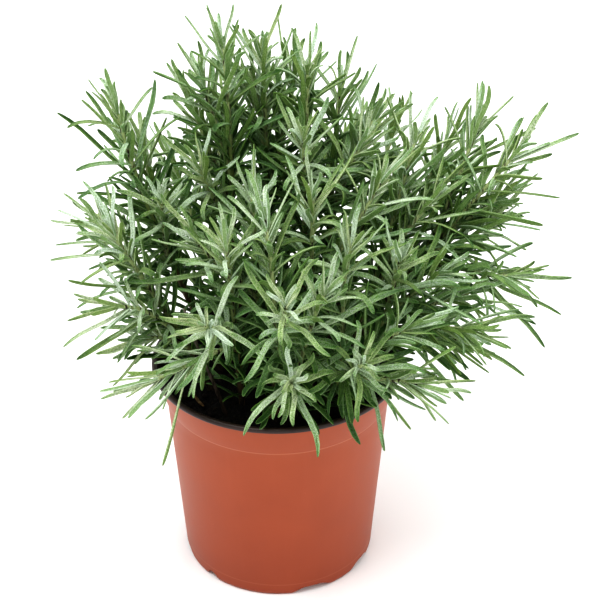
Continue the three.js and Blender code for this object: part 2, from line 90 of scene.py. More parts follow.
# %% [markdown]
# The plant stands on a plain white table top under soft light. One big lamp above and to the
# left is the main light, a weaker one on the right opens the shadows and a third, behind,
# lights the edges of the leaves. A white sky does the rest, so only a faint shadow is left.

# %% Floor and lamps
def plain_surface(name, colour, roughness):
    surface = bpy.data.materials.new(name)
    surface.use_nodes = True
    shader = surface.node_tree.nodes["Principled BSDF"]
    shader.inputs["Base Color"].default_value = (*colour, 1)
    shader.inputs["Roughness"].default_value = roughness
    return surface


def area_lamp(name, place, aim, size, watts):
    lamp = bpy.data.lights.new(name, "AREA")
    lamp.shape = "DISK"
    lamp.size = size
    lamp.energy = watts
    holder = bpy.data.objects.new(name, lamp)
    holder.location = place
    holder.rotation_euler = Vector(np.subtract(aim, place)).to_track_quat("-Z", "Y").to_euler()
    bpy.context.scene.collection.objects.link(holder)


HALF_TABLE = 6
table = bpy.data.meshes.new("table_top")
table.from_pydata([(x * HALF_TABLE, y * HALF_TABLE, 0) for x, y in ((-1, -1), (1, -1), (1, 1), (-1, 1))],
                  [], [(0, 1, 2, 3)])
table_top = bpy.data.objects.new("table_top", table)
table.materials.append(plain_surface("white_table", (0.93, 0.93, 0.93), 0.9))
bpy.context.scene.collection.objects.link(table_top)
table_top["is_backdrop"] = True

MIDDLE = (0, 0, 0.15)
area_lamp("window_light", (-0.45, -0.55, 1.75), MIDDLE, size=0.9, watts=14)
area_lamp("fill_light", (1.2, -0.6, 1.0), MIDDLE, size=1.2, watts=4)
area_lamp("back_light", (0.3, 0.9, 1.6), MIDDLE, size=1.0, watts=6)

sky = bpy.data.worlds.new("white_sky")
sky.use_nodes = True
sky.node_tree.nodes["Background"].inputs["Color"].default_value = (1, 1, 1, 1)
sky.node_tree.nodes["Background"].inputs["Strength"].default_value = 0.7
bpy.context.scene.world = sky
bpy.context.scene.view_settings.view_transform = "Standard"
bpy.context.scene.view_settings.look = "High Contrast"
print("lamps and sky are set")

# %% [markdown]
# ## Building meshes from arrays
#
# A rosemary has nearly three thousand leaves. Making each with operators would take minutes,
# so pieces are laid out as NumPy arrays and handed to Blender once. A piece can carry two
# extra things: a UV map, in which every leaf has a strip of its own, and a colour attribute
# called "grown" that tells the materials how old each spot is.

# %% A helper that turns arrays into one piece
def make_piece(name, points, faces, materials, face_slots=None, unwrap=None, grown=None):
    mesh = bpy.data.meshes.new(name)
    mesh.from_pydata(np.asarray(points).tolist(), [], faces)
    for material in materials:
        mesh.materials.append(material)
    if face_slots is not None:
        mesh.polygons.foreach_set("material_index", np.asarray(face_slots, np.int32))
    if unwrap is not None:
        layer = mesh.uv_layers.new(name="OFBake")
        layer.data.foreach_set("uv", np.asarray(unwrap, np.float32).ravel())
    if grown is not None:
        colours = mesh.attributes.new("grown", "FLOAT_COLOR", "POINT")
        colours.data.foreach_set("color", np.asarray(grown, np.float32).ravel())
    mesh.polygons.foreach_set("use_smooth", np.ones(len(mesh.polygons), bool))
    mesh.update()
    piece = bpy.data.objects.new(name, mesh)
    bpy.context.scene.collection.objects.link(piece)
    return piece


def settle(piece, slot, *nodes):
    """Fixes a finished piece to the model in place of its plain solids."""
    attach(piece, "root")
    if nodes:
        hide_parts(*nodes)
    return piece


MM = 0.001
print("one millimetre is", MM, "metre")

# %% [markdown]
# Stems, leaves and crumbs are made one by one. A `Heap` collects them until they become one
# piece, and counts the points so that each part's faces find their own.

# %% Many parts in one piece
class Heap:
    def __init__(self):
        self.points, self.faces, self.slots, self.unwrap, self.grown = [], [], [], [], []
        self.total = 0

    def add(self, points, faces, unwrap, grown=None, slot=0):
        self.points.append(points)
        self.faces += [[corner + self.total for corner in face] for face in faces]
        self.slots += [slot] * len(faces)
        self.unwrap.append(unwrap)
        self.grown += [] if grown is None else [grown]
        self.total += len(points)

    def make(self, name, materials):
        grown = np.concatenate(self.grown) if self.grown else None
        return make_piece(name, np.concatenate(self.points) * MM, self.faces, materials, self.slots,
                          np.concatenate(self.unwrap), grown)


print("an empty heap has", Heap().total, "points")

# %% [markdown]
# Nature repeats itself with small changes. `scatter` gives those changes: a number from 0 to
# 1 that looks random but is the same every time. `lumps` adds a few waves in different
# directions, a cheap noise that is smooth and needs no texture.

# %% Repeatable variation
def scatter(i, j):
    wave = np.sin(i * 12.9898 + j * 78.233) * 43758.5453
    return wave - np.floor(wave)


def mix(a, b, t):
    return a + (b - a) * t


def lumps(points, size, seed, waves=9):
    """Smooth noise from about -1 to 1 at an array of points, with bumps of about that size."""
    dice = np.random.default_rng(seed)
    heights = np.zeros(len(points))
    for _ in range(waves):
        direction = dice.normal(size=3)
        direction *= (2 * np.pi / size) * dice.uniform(0.6, 1.5) / np.linalg.norm(direction)
        heights += np.sin(points @ direction + dice.uniform(0, 2 * np.pi))
    return heights / math.sqrt(waves)


print("scatter(3, 4) =", round(float(scatter(3, 4)), 6))

# %% [markdown]
# ## The materials' building blocks
#
# Every finish below is a small node tree. `Finish` keeps the trees short: it adds a node, sets
# its values and returns it, and joins sockets by name.

# %% A short way to write node trees
class Finish:
    def __init__(self, name, roughness=0.5):
        self.material = bpy.data.materials.new(name)
        self.material.use_nodes = True
        self.tree = self.material.node_tree
        self.shader = self.tree.nodes["Principled BSDF"]
        self.shader.inputs["Roughness"].default_value = roughness

    def node(self, kind, **values):
        made = self.tree.nodes.new(kind)
        for key, value in values.items():
            if hasattr(made, key) and key not in made.inputs:
                setattr(made, key, value)
            else:
                made.inputs[key].default_value = value
        return made

    def join(self, out, into):
        self.tree.links.new(out, into)

    def noise(self, scale, detail=3.0, stretch=None):
        place = self.node("ShaderNodeTexCoord").outputs["Object"]
        if stretch:
            mapping = self.node("ShaderNodeMapping")
            mapping.inputs["Scale"].default_value = stretch
            self.join(place, mapping.inputs["Vector"])
            place = mapping.outputs["Vector"]
        made = self.node("ShaderNodeTexNoise", Scale=scale, Detail=detail)
        self.join(place, made.inputs["Vector"])
        return made.outputs["Fac"]

    def ramp(self, value, stops):
        made = self.node("ShaderNodeValToRGB")
        band = made.color_ramp
        while len(band.elements) < len(stops):
            band.elements.new(0.5)
        for element, (place, colour) in zip(band.elements, stops):
            element.position = place
            element.color = (*colour, 1)
        self.join(value, made.inputs["Fac"])
        return made.outputs["Color"]

    def levels(self, value, stops):
        """A ramp of greys, used as a mask."""
        return self.ramp(value, [(place, (grey, grey, grey)) for place, grey in stops])

    def feed(self, sockets, values):
        """Joins or sets sockets, as each value is another socket, a colour or a number."""
        for socket, value in zip(sockets, values):
            if isinstance(value, bpy.types.NodeSocket):
                self.join(value, socket)
            else:
                socket.default_value = (*value, 1) if isinstance(value, tuple) else value

    def mix(self, amount, first, second, blend="MIX"):
        made = self.node("ShaderNodeMix", data_type="RGBA", blend_type=blend)
        self.feed((made.inputs[0], made.inputs[6], made.inputs[7]), (amount, first, second))
        return made.outputs[2]

    def sums(self, operation, *values, clamp=False):
        made = self.node("ShaderNodeMath", operation=operation, use_clamp=clamp)
        self.feed(made.inputs, values)
        return made.outputs[0]

    def jitter(self, value, noise, amount=0.4):
        """A value from 0 to 1, moved up and down by a noise."""
        change = self.sums("MULTIPLY", self.sums("SUBTRACT", noise, 0.5), amount)
        return self.sums("ADD", value, change, clamp=True)

    def grown(self):
        """What the "grown" colours hold: red, green, blue and alpha."""
        marks = self.node("ShaderNodeAttribute", attribute_name="grown")
        parts = self.node("ShaderNodeSeparateColor")
        self.join(marks.outputs["Color"], parts.inputs["Color"])
        return parts.outputs["Red"], parts.outputs["Green"], parts.outputs["Blue"], marks.outputs["Alpha"]

    def bump(self, height, strength, depth):
        made = self.node("ShaderNodeBump", Strength=strength, Distance=depth)
        self.join(height, made.inputs["Height"])
        self.join(made.outputs["Normal"], self.shader.inputs["Normal"])

    def colour(self, socket):
        self.join(socket, self.shader.inputs["Base Color"])
        return self.material


def shade(red, green, blue):
    """A screen colour, 0 to 255, as the linear light that a shader expects."""
    channels = np.array([red, green, blue]) / 255
    return tuple(np.where(channels > 0.04, ((channels + 0.055) / 1.055) ** 2.4, channels / 12.92).tolist())


print("clay red in linear light:", [round(c, 3) for c in shade(184, 90, 58)])

# %% [markdown]
# ## The pot
#
# The pot is one sheet of plastic, heated and drawn into a mould. That gives it a rolled lip,
# a collar that flares above a fine seam line, and a foot whose edge is pushed up into notches
# so that water can drain. It could be a Screw modifier on a profile, but the notches need
# points that move, so we revolve the profile in code and lift the points where a notch is.

# %% Profile of the pot, outside then inside
# Radii and heights in millimetres.
LIP, LIP_TOP = 59.5, 107.7
SEAM, SEAM_HEIGHT = 53.1, 90.0
FOOT = 46.6
WALL, FLOOR = 1.2, 1.6
AROUND = 288


def between(start, end, count):
    """Points on a straight line, leaving out its end."""
    return [tuple(np.array(start) + (np.array(end) - np.array(start)) * i / count) for i in range(count)]


foot_outline = between((0.4, 0), (34, 0), 5) + between((34, 0), (FOOT - 1.6, 0), 12)
foot_outline += [(FOOT - 1.6, 0), (FOOT - 1.0, 0.15), (FOOT - 0.5, 0.6), (FOOT - 0.15, 1.4)]
wall_outline = between((FOOT + 0.05, 2.4), (FOOT + 0.45, 8), 8)
wall_outline += between((FOOT + 0.45, 8), (SEAM - 0.08, SEAM_HEIGHT - 0.8), 16)
seam_outline = [
    (SEAM - 0.08, SEAM_HEIGHT - 0.8), (SEAM + 0.05, SEAM_HEIGHT - 0.35), (SEAM + 0.42, SEAM_HEIGHT + 0.1),
    (SEAM + 0.55, SEAM_HEIGHT + 0.5),
]
collar_outline = [
    (SEAM + 1.3, 92.6), (SEAM + 2.0, 95.2), (SEAM + 2.7, 97.8), (SEAM + 3.3, 100.2), (SEAM + 3.8, 102.4),
    (SEAM + 4.1, 103.8), (SEAM + 4.35, 104.6),
]
lip_outline = [
    (LIP - 1.5, 105.0), (LIP - 0.8, 105.15), (LIP - 0.25, 105.5), (LIP - 0.02, 106.1), (LIP - 0.1, 106.8),
    (LIP - 0.45, 107.35), (LIP - 1.0, 107.66), (LIP - 1.6, 107.7), (LIP - 2.2, 107.5), (LIP - 2.8, 106.9),
    (LIP - 3.1, 106.0), (LIP - 3.4, 104.6),
]
inside_outline = [
    (SEAM + 2.4, 101.5), (SEAM + 0.9, 96.0), (SEAM - WALL + 0.5, 91.0), (SEAM - WALL, 89.0),
    (50.4, 70.0), (48.8, 50.0), (47.3, 28.0), (46.0, 12.0), (FOOT - WALL, 7.5), (FOOT - WALL - 0.1, 6.6),
    (FOOT - WALL - 0.8, 6.2), (36.8, 5.6), (35.2, 2.4), (33.5, FLOOR), (18.0, FLOOR), (0.4, FLOOR),
]
red_outline = foot_outline + wall_outline + seam_outline + collar_outline
outline = np.array(red_outline + lip_outline + inside_outline)
print("pot outline has", len(outline), "points,", outline[:, 0].max() * 2, "mm across the lip")

# %% [markdown]
# A notch is a stretch of the foot that is lifted by 3.6 mm, with sloped ends. `foot_lift`
# gives the height for any angle, measured from the front and positive to the right.

# %% Notches in the foot
NOTCH_HEIGHT, NOTCH_REACH, NOTCH_BLEND, SLOPE_SHARE = 3.6, 9.0, 2.2, 0.35
# Middle and width of each, in degrees.
NOTCHES = [(21, 30), (60, 24), (105, 30), (150, 30), (-165, 30), (-120, 30), (-76, 30), (-44, 11)]


def smooth(t):
    t = np.clip(t, 0, 1)
    return t * t * (3 - 2 * t)


def foot_lift(angle):
    lift = np.zeros_like(angle)
    for centre, width in NOTCHES:
        away = np.abs((angle - centre + 180) % 360 - 180)
        slope = width * SLOPE_SHARE
        lift = np.maximum(lift, NOTCH_HEIGHT * smooth((width / 2 - away) / slope))
    return lift


def revolve(profile, around):
    """Rings of points, one ring for each point of the profile, turning from the front."""
    angles = np.degrees(np.arange(around) / around * 2 * np.pi)
    turn = np.radians(angles)
    radius, height = profile[:, 0][:, None], profile[:, 1][:, None]
    rings = np.stack([radius * np.sin(turn), -radius * np.cos(turn), height + 0 * turn], axis=2)
    return rings, angles


rings, angles = revolve(outline, AROUND)
lift = foot_lift(angles)[None, :]
radius = outline[:, 0][:, None]
outside = np.arange(len(outline))[:, None] < len(foot_outline) + len(wall_outline)
near_edge = smooth((radius - (FOOT - NOTCH_REACH)) / NOTCH_BLEND)
rings[:, :, 2] = np.where(outside, np.maximum(rings[:, :, 2], lift * near_edge), rings[:, :, 2])
print("feet between notches:", int((np.diff((lift[0] > 0.1).astype(int)) == 1).sum()))

# %% [markdown]
# The plastic is a two-layer sheet: clay red outside and nearly black inside. The red layer has
# fine drawn lines that run up the wall, a faint mottle, and scuffs where pots rub together.
# The sheen comes from a moderate roughness, so that pale surroundings show at its edges.
# Towards the foot the red is darkened: that is painted shade.

# %% Plastic finishes
# Two pale rings: a faint line low on the wall, and a painted highlight along the seam.
# A height of 1 is 100 mm.
PALE_LINE_AND_SEAM_HIGHLIGHT = [(0.062, 0), (0.066, 0.16), (0.070, 0), (0.891, 0), (0.897, 0.3), (0.903, 0)]


def red_plastic():
    made = Finish("clay_red_plastic", 0.42)
    mottle = made.noise(38, 4)
    drawn = made.noise(260, 3, (1, 1, 0.04))
    scuffs = made.noise(900, 2, (1, 1, 0.5))
    base = made.ramp(mottle, [(0.3, shade(158, 74, 38)), (0.7, shade(164, 79, 43))])
    base = made.mix(made.levels(drawn, [(0.5, 0), (0.8, 0.08)]), base, shade(180, 92, 60))
    base = made.mix(made.levels(scuffs, [(0.72, 0), (0.82, 0.2)]), base, shade(196, 120, 92))
    height = made.node("ShaderNodeSeparateXYZ")
    made.join(made.node("ShaderNodeTexCoord").outputs["Object"], height.inputs["Vector"])
    level = made.sums("MULTIPLY", height.outputs["Z"], 10.0)
    # Painted shade: the red is multiplied darker towards the foot of the wall.
    shade_low_down = made.ramp(level, [(0.02, (0.82, 0.73, 0.64)), (0.75, (1, 1, 1))])
    base = made.mix(1.0, base, shade_low_down, "MULTIPLY")
    # A faint pale line near the foot, and a painted highlight on the seam.
    base = made.mix(made.levels(level, PALE_LINE_AND_SEAM_HIGHLIGHT), base, shade(222, 158, 122))
    made.join(made.sums("MULTIPLY_ADD", mottle, 0.16, 0.34), made.shader.inputs["Roughness"])
    made.bump(made.sums("ADD", drawn, made.sums("MULTIPLY", scuffs, 0.35)), 0.12, 0.0002)
    return made.colour(base)


def black_plastic():
    made = Finish("black_brown_plastic", 0.38)
    mottle = made.noise(60, 4)
    dust = made.noise(1400, 2)
    base = made.ramp(mottle, [(0.3, shade(38, 25, 22)), (0.7, shade(60, 43, 37))])
    base = made.mix(made.levels(dust, [(0.66, 0), (0.78, 0.5)]), base, shade(104, 88, 78))
    made.bump(dust, 0.12, 0.0003)
    return made.colour(base)


RED, BLACK = red_plastic(), black_plastic()
print("plastic:", RED.name, "and", BLACK.name)

# %% The pot itself
WHOLE_MAP = ((0.01, 0.01), (0.99, 0.99))


def grid_faces(rows, columns):
    """Quads over rows of points that close round on themselves."""
    r, c = np.meshgrid(np.arange(rows - 1), np.arange(columns), indexing="ij")
    n = (c + 1) % columns
    low, high = r * columns, (r + 1) * columns
    return np.stack([low + c, low + n, high + n, high + c], axis=2).reshape(-1, 4).tolist()


def grid_unwrap(rows, columns, low, high):
    """A strip of the UV map for the same quads, from its low to its high corner."""
    r, c = np.meshgrid(np.arange(rows - 1), np.arange(columns), indexing="ij")
    u = np.stack([c, c + 1, c + 1, c], axis=2) / columns
    v = np.stack([r, r, r + 1, r + 1], axis=2) / (rows - 1)
    unwrap = np.stack([low[0] + u * (high[0] - low[0]), low[1] + v * (high[1] - low[1])], axis=3)
    return unwrap.reshape(-1, 2)


pot_faces = grid_faces(len(outline), AROUND)
row_of_face = np.repeat(np.arange(len(outline) - 1), AROUND)
is_black = (row_of_face >= len(red_outline) - 1).astype(int)
pot = make_piece("nursery_pot", rings.reshape(-1, 3) * MM, pot_faces, [RED, BLACK], is_black,
                 grid_unwrap(len(outline), AROUND, *WHOLE_MAP))
settle(pot, "pot_plastic", "pot")
print("pot:", len(pot_faces), "faces")

# %% [markdown]
# ## The compost
#
# Potting compost is dark peat with a lumpy top. A flat disc would look like paint, so the top
# is a fine polar grid lifted by three sizes of noise, and loose crumbs lie on it.

# %% Height of the compost
SOIL_TOP, SOIL_BUMP = 93.5, 0.96
MOUND_RADIUS, MOUND_RISE = 50, 1.2
SOIL_EDGE, SOIL_RINGS, SOIL_AROUND = 52.3, 70, 220
# Radius and height of the compost's sides and underside.
SOIL_SIDES = [(51.2, 88), (49.0, 60), (46.6, 30), (45.0, 8.5), (35.5, 8.0), (35.5, 3.4), (0.3, 3.0)]


def soil_height(x, y):
    reach = np.hypot(x, y) / MOUND_RADIUS
    waves = np.sin(x * 0.23 + 1.1) * np.cos(y * 0.27 - 0.6) + 0.5 * np.sin(x * 0.51 - y * 0.43)
    return SOIL_TOP + MOUND_RISE * (1 - reach * reach) + SOIL_BUMP * waves


soil_radii = np.concatenate([[0.3], np.linspace(1, SOIL_EDGE, SOIL_RINGS)])
soil_rings, _ = revolve(np.stack([soil_radii, 0 * soil_radii], axis=1), SOIL_AROUND)
flat = soil_rings.reshape(-1, 3)
fine = 0.55 * lumps(flat, 9, 5) + 0.35 * lumps(flat, 3.4, 6) + 0.22 * lumps(flat, 1.5, 7)
soil_rings[:, :, 2] = (soil_height(flat[:, 0], flat[:, 1]) + fine).reshape(soil_rings.shape[:2])
print("compost top, mm:", soil_rings[:, :, 2].min().round(1), "to", soil_rings[:, :, 2].max().round(1))
sides = []
for side_radius, side_height in SOIL_SIDES:
    ring = soil_rings[-1] * (side_radius / SOIL_EDGE)
    ring[:, 2] = side_height
    sides.append(ring)
soil_rings = np.concatenate([soil_rings, np.array(sides)])

# %% Compost finish
def compost_finish(name, dark, light):
    made = Finish(name, 0.92)
    grain = made.noise(420, 6)
    fibres = made.noise(900, 3, (1, 0.25, 1))
    base = made.ramp(grain, [(0.35, dark), (0.72, light)])
    base = made.mix(made.levels(fibres, [(0.62, 0), (0.74, 0.6)]), base, shade(74, 56, 40))
    made.bump(made.sums("ADD", grain, fibres), 0.8, 0.0009)
    return made.colour(base)


PEAT = compost_finish("damp_peat", shade(9, 7, 6), shade(30, 23, 19))
CRUMB = compost_finish("peat_crumb", shade(16, 12, 10), shade(52, 40, 31))
soil = make_piece("compost", soil_rings.reshape(-1, 3) * MM, grid_faces(len(soil_rings), SOIL_AROUND), [PEAT],
                  None, grid_unwrap(len(soil_rings), SOIL_AROUND, *WHOLE_MAP))
settle(soil, "compost", "soil")
print("compost:", len(soil.data.polygons), "faces")

# %% [markdown]
# ## Crumbs and grains
#
# Loose crumbs break up the smooth skin of the compost. Each is a small ball whose points are
# pushed in and out by noise until it is an angular lump. Hundreds of copies go into one piece,
# because nobody will ever want to move a single crumb.

# %% A lump, and a scatter of lumps
def ball_points(detail):
    """Points and triangles of a ball, by splitting a twenty-sided one."""
    shape = bmesh.new()
    bmesh.ops.create_icosphere(shape, subdivisions=detail, radius=1.0)
    points = np.array([v.co for v in shape.verts])
    faces = np.array([[v.index for v in f.verts] for f in shape.faces])
    shape.free()
    return points, faces


def lump(points, seed, rough):
    """A ball's points pushed in and out, and squashed, into an angular grain."""
    dice = np.random.default_rng(seed)
    swell = 1 + rough * lumps(points, 1.3, seed, 5) + rough * 0.4 * lumps(points, 0.6, seed + 1, 5)
    return points * swell[:, None] * dice.uniform(0.6, 1.0, 3)


def scatter_lumps(count, seed, sizes, reach):
    base, triangles = ball_points(1)
    dice = np.random.default_rng(seed)
    heap = Heap()
    side = math.ceil(math.sqrt(count))
    cell = round_unwrap(base, triangles) / side * 0.94 + 0.03 / side
    for i in range(count):
        distance, turn = reach * math.sqrt(dice.uniform(0, 1)), dice.uniform(0, 2 * np.pi)
        x, y = distance * math.cos(turn), distance * math.sin(turn)
        size = mix(*sizes, dice.uniform(0, 1) ** 2.5)
        grain = lump(base, seed * 1000 + i, 0.22) * size
        corner = np.array([i % side, i // side]) / side
        heap.add(grain + (x, y, soil_height(x, y) + size * 0.25), triangles.tolist(), cell + corner)
    return heap


def round_unwrap(points, triangles):
    """Each triangle of a ball gets a little triangle of its own in a grid of cells."""
    count = len(triangles)
    side = math.ceil(math.sqrt(count / 2))
    index = np.arange(count)
    corner = np.stack([(index // 2) % side, (index // 2) // side], axis=1) / side
    lower = np.array([[0.06, 0.06], [0.86, 0.06], [0.06, 0.86]])
    upper = np.array([[0.94, 0.94], [0.14, 0.94], [0.94, 0.14]])
    local = np.where((index % 2 == 0)[:, None, None], lower, upper)
    return (corner[:, None, :] + local / side).reshape(-1, 2)


crumbs = scatter_lumps(count=620, seed=11, sizes=(0.5, 2.4), reach=49.5).make("peat_crumbs", [CRUMB])
settle(crumbs, "compost")
print("crumbs:", len(crumbs.data.polygons), "faces")

# %% [markdown]
# Perlite is volcanic glass popped by heat into white grains. Growers mix it in for drainage,
# and a few grains always lie on top. Their broken bubbles make a chalky, pitted skin.

# %% Perlite
def grainy_finish(name, roughness, scale, stops, strength, depth):
    """A finish whose colour and bumps both follow one noise."""
    made = Finish(name, roughness)
    grain = made.noise(scale, 4)
    made.bump(grain, strength, depth)
    return made.colour(made.ramp(grain, stops))


CHALK = [(0.3, shade(176, 170, 158)), (0.6, shade(236, 233, 226))]
PERLITE = grainy_finish("perlite_grain", 0.85, 1500, CHALK, 0.7, 0.0004)
GRAINS = 4
GRAIN_SINK, GRAIN_GROWTH = 0.9, 1.12  # settled between the lumps, and a little fuller than its solid
grain_ball, grain_triangles = ball_points(3)
for index in range(1, GRAINS + 1):
    low, high = (np.array(corner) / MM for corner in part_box(f"perlite_{index}"))
    centre = (low + high) / 2 - (0, 0, GRAIN_SINK)
    shaped = lump(grain_ball, 40 + index, 0.12) * (high - low) / 2 * GRAIN_GROWTH
    grain = make_piece(f"perlite_grain_{index}", (centre + shaped) * MM, grain_triangles.tolist(),
                       [PERLITE], None, round_unwrap(grain_ball, grain_triangles))
    settle(grain, "perlite", f"perlite_{index}")
print("perlite grains:", GRAINS)

# %% [markdown]
# ## How a rosemary grows
#
# A branch is rooted in the compost, rises, and leans outwards to the light. Side shoots fork
# off it. Along every shoot the leaves stand in opposite pairs, each pair turned a quarter turn
# from the last. Near the tip they are short, silvery and held close; further down they are
# long, dark and spread wide. The table gives the shoots; rules give the leaves. The table and
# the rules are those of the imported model, so every branch stands where its solid does.

# %% The shoots
# Rooted at (x, y), then shoots: tip x, y, z, rise of the last stretch in degrees, leafy
# length, and for a side shoot the share of the main stem at which it forks off. Millimetres.
BRANCHES = [
    ((-12, 10), [
        (-23, 20, 255, 82, 120), (-38, 30, 222, 66, 60, 0.52), (-33, -4, 208, 70, 50, 0.45),
        (-33, 20, 240, 74, 50, 0.62),
    ]),
    ((2, 15), [(-6, 33, 247, 85, 115), (8, 52, 230, 75, 60, 0.55), (-10, 36, 232, 72, 50, 0.6)]),
    ((11, 6), [(14, 34, 238, 80, 100), (12, 2, 220, 75, 55, 0.5), (38, 10, 213, 64, 45, 0.5)]),
    ((19, 14), [(29, 40, 228, 75, 90), (44, 26, 218, 66, 55, 0.55)]),
    ((-25, 6), [(-69, 7, 230, 80, 100), (-61, 24, 206, 66, 50, 0.5), (-50, -12, 196, 60, 50, 0.5)]),
    ((-29, -7), [
        (-70, -26, 188, 66, 90), (-78, 2, 176, 44, 50, 0.5), (-69, -38, 158, 18, 50, 0.4),
        (-60, -24, 132, -4, 42, 0.32),
    ]),
    ((-16, -17), [(-20, -50, 196, 72, 75), (-29, -72, 170, 44, 42, 0.5), (-52, -50, 128, -6, 42, 0.42)]),
    ((-2, -22), [(5, -80, 184, 58, 70), (-4, -42, 204, 78, 45, 0.5)]),
    ((8, -27), [(7, -83, 149, 34, 64), (21, -66, 182, 62, 45, 0.5)]),
    ((22, -20), [
        (37, -78, 155, 42, 60), (32, -50, 194, 66, 50, 0.5), (62, -60, 132, 0, 46, 0.45),
        (58, -54, 158, 32, 42, 0.55),
    ]),
    ((15, -6), [(16, -28, 206, 76, 70), (46, -10, 206, 66, 55, 0.5)]),
    ((27, 3), [
        (70, -2, 192, 52, 80), (62, 16, 212, 70, 55, 0.5), (77, 32, 202, 60, 50, 0.5),
        (98, 2, 178, 38, 50, 0.55),
    ]),
    ((32, -9), [
        (72, -32, 172, 42, 70), (53, -42, 184, 60, 45, 0.5), (86, -40, 148, 16, 45, 0.5),
        (82, -24, 132, 0, 40, 0.45), (92, -12, 152, 20, 42, 0.55),
    ]),
    ((31, 14), [
        (106, 2, 214, 58, 80), (91, 26, 214, 64, 55, 0.55), (106, -14, 160, 22, 50, 0.5),
        (101, 8, 188, 42, 45, 0.62),
    ]),
    ((-5, 0), [(-10, -20, 204, 80, 65), (-34, -32, 188, 62, 45, 0.5)]),
    ((-20, 24), [(-50, 60, 180, 62, 70), (-26, 74, 200, 70, 50, 0.5), (-84, 40, 156, 25, 50, 0.45)]),
    ((4, 30), [(2, 82, 202, 60, 80), (34, 88, 178, 45, 50, 0.5), (-22, 92, 160, 30, 45, 0.5)]),
    ((23, 28), [(56, 66, 196, 66, 80), (84, 58, 174, 40, 50, 0.5), (60, 86, 152, 22, 45, 0.45)]),
]
PLANTED_DEPTH = 9
MAIN_RADIUS, SIDE_RADIUS = (1.7, 0.75), (1.15, 0.7)
BOWS = (0, 5, -5, 10, -10, 15, -15, 20, -20)
STEM_PULL = (0.38, 0.36)  # handles of a stem's curve, as shares of its span
STEM_RUNS = 10
CLEARANCE, STEM_KEEP, POT_KEEP = 0.35, 0.2, 0.8
HEADROOM = LIP - 4.5  # inside the collar
UP = np.array([0.0, 0.0, 1.0])
print("branches:", len(BRANCHES), " shoots:", sum(len(shoots) for _, shoots in BRANCHES))

# %% [markdown]
# Each stem is a cubic Bezier curve: two ends and two handles. Blender has such curves, but we
# need to ask for points and directions thousands of times, so plain arithmetic is quicker.

# %% Stem curves
def unit(vector):
    return vector / np.linalg.norm(vector, axis=-1, keepdims=True)


def point_on(curve, t):
    t = np.asarray(t, float)[..., None]
    a, b, c, d = curve
    return (1 - t) ** 3 * a + 3 * (1 - t) ** 2 * t * b + 3 * (1 - t) * t * t * c + t ** 3 * d


def heading_on(curve, t):
    t = np.asarray(t, float)
    return unit(point_on(curve, np.minimum(t + 1e-4, 1)) - point_on(curve, np.maximum(t - 1e-4, 0)))


def curve_length(curve):
    points = point_on(curve, np.linspace(0, 1, 201))
    return float(np.linalg.norm(np.diff(points, axis=0), axis=1).sum())


def stem_curve(shoot, start, start_heading, bow):
    tip = np.array(shoot[:3], float)
    rise = math.radians(shoot[3])
    span = np.linalg.norm(tip - start)
    out = np.array([tip[0] - start[0], tip[1] - start[1], 0.0])
    out = np.array([0.0, -1.0, 0.0]) if np.linalg.norm(out) < 1 else unit(out)
    side = np.array([-out[1], out[0], 0.0])
    last = out * math.cos(rise) + UP * math.sin(rise)
    first = unit(out * 0.3 + UP) if start_heading is None else start_heading
    lower = start + first * span * STEM_PULL[0] + side * bow
    upper = tip - last * span * STEM_PULL[1] + side * bow
    return np.array([start, lower, upper, tip])


first_shoot = BRANCHES[0][1][0]
print("a first stem:", round(curve_length(stem_curve(first_shoot, np.zeros(3), None, 0)), 1), "mm long")

# %% [markdown]
# Real branches grow round each other. To keep ours apart, every stem and leaf is also a few
# straight runs with a radius, and a new one has to clear those that already stand.

# %% Keeping apart
class Runs:
    """Straight runs with a radius: the space that stems and leaves take up."""

    def __init__(self):
        self.a, self.b = np.zeros((0, 3)), np.zeros((0, 3))
        self.radius, self.branch = np.zeros(0), np.zeros(0, int)

    def add(self, a, b, radius, branch):
        self.a, self.b = np.vstack([self.a, a]), np.vstack([self.b, b])
        self.radius = np.concatenate([self.radius, radius])
        self.branch = np.concatenate([self.branch, np.full(len(radius), branch)])

    def spare(self, a, b, radius, branch=None):
        """Least room between some runs and the standing ones of other branches."""
        chosen = slice(None) if branch is None else self.branch != branch
        others_a, others_b, others_radius = self.a[chosen], self.b[chosen], self.radius[chosen]
        if not len(others_a):
            return 50.0
        gaps = run_gap(a[:, None], b[:, None], others_a[None], others_b[None])
        return min(50.0, float((gaps - radius[:, None] - others_radius[None] - CLEARANCE).min()))


def run_gap(p, q, a, b):
    """Distance between straight runs p-q and a-b."""
    one, two, apart = q - p, b - a, p - a
    aa, ee = (one * one).sum(-1), (two * two).sum(-1)
    bb, cc, ff = (one * two).sum(-1), (one * apart).sum(-1), (two * apart).sum(-1)
    spread = aa * ee - bb * bb
    s = np.where(spread > 1e-6, np.clip((bb * ff - cc * ee) / np.where(spread > 1e-6, spread, 1), 0, 1), 0)
    t = (bb * s + ff) / ee
    s = np.where(t < 0, np.clip(-cc / aa, 0, 1), np.where(t > 1, np.clip((bb - cc) / aa, 0, 1), s))
    t = np.clip(t, 0, 1)
    return np.linalg.norm(p + one * s[..., None] - a - two * t[..., None], axis=-1)


def stem_runs(curve, radii):
    points = point_on(curve, np.linspace(0, 1, STEM_RUNS + 1))
    return points[:-1], points[1:], mix(*radii, np.arange(STEM_RUNS) / STEM_RUNS)


def clear_of_pot(a, b, radius, margin=POT_KEEP):
    steps = np.linspace(0, 1, 5)[:, None, None]
    points = a[None] * (1 - steps) + b[None] * steps
    reach = np.hypot(points[..., 0], points[..., 1])
    room = radius[None] + margin
    above = points[..., 2] > LIP_TOP + room
    outside = reach > LIP + room
    over_soil = points[..., 2] > soil_height(points[..., 0], points[..., 1]) + room
    return bool((above | outside | (reach < HEADROOM - room) & over_soil).all())


